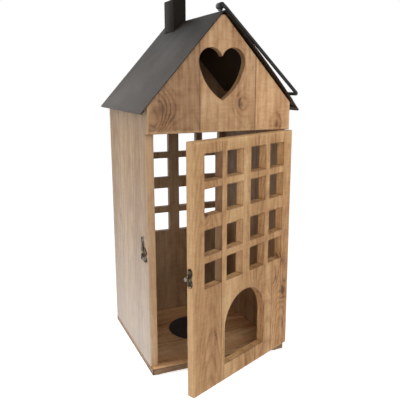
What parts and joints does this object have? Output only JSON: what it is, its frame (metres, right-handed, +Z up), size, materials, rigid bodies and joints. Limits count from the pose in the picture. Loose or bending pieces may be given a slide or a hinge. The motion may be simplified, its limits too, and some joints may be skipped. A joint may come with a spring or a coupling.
{
  "type": "lantern floor lamp",
  "caption": "House-shaped wooden candle lantern with a hinged window door, heart-cut gable, folded metal roof with chimney and a swinging carrying handle.",
  "frame": {"origin": "centre of the bounding box seen from above, at the underside of the feet, with the door open at its stored angle and the handle folded on the right slope", "axes": "+Z up, -Y towards the door side, +X to the right seen from the door side"},
  "size_m": [0.2437, 0.324, 0.5555],
  "materials": {
    "wood": "oiled hardwood, plain vertical grain",
    "roof_metal": "satin powder coat",
    "black_metal": "satin black powder coat",
    "antique_brass": "dark antique",
    "steel": "plain",
    "foot_pad": "dark stained"
  },
  "bodies": {
    "house": {"base_board": "wood", "side_wall_left": "wood", "side_wall_right": "wood", "back_panel": "wood", "front_gable": "wood", "roof_sheet": "roof_metal", "chimney": "black_metal", "handle_tube_front": "black_metal", "handle_tube_rear": "black_metal", "candle_plate": "black_metal", "candle_plate_screw": "black_metal", "feet": "foot_pad", "base_screws": "steel", "hinge_frame_leaf_lower": "antique_brass", "hinge_frame_leaf_upper": "antique_brass", "hinge_pins": "antique_brass", "hinge_frame_screws": "antique_brass", "latch_wall_plate": "antique_brass", "latch_plate_screws": "antique_brass", "latch_rivet": "antique_brass"},
    "door": {"door_panel": "wood", "hinge_door_leaf_lower": "antique_brass", "hinge_door_leaf_upper": "antique_brass", "hinge_door_screws": "antique_brass", "door_strike_plate": "antique_brass", "door_strike_screws": "antique_brass", "door_knob": "steel"},
    "handle": {"handle_bail": "black_metal"},
    "hook": {"latch_hook": "antique_brass"}
  },
  "joints": [
    {"name": "door_hinge", "type": "hinge", "parent": "house", "child": "door", "pos_m": [0.11227, -0.05498, 0.2], "axis": [0, 0, 1], "range_deg": [-25.6, 110]},
    {"name": "handle_pivot", "type": "hinge", "parent": "house", "child": "handle", "pos_m": [-0.00073, 0, 0.5285], "axis": [0, -1, 0], "range_deg": [0, 265]},
    {"name": "latch_hook_pivot", "type": "hinge", "parent": "house", "child": "hook", "pos_m": [-0.11273, -0.03798, 0.182], "axis": [1, 0, 0], "range_deg": [0, 97]}
  ]
}
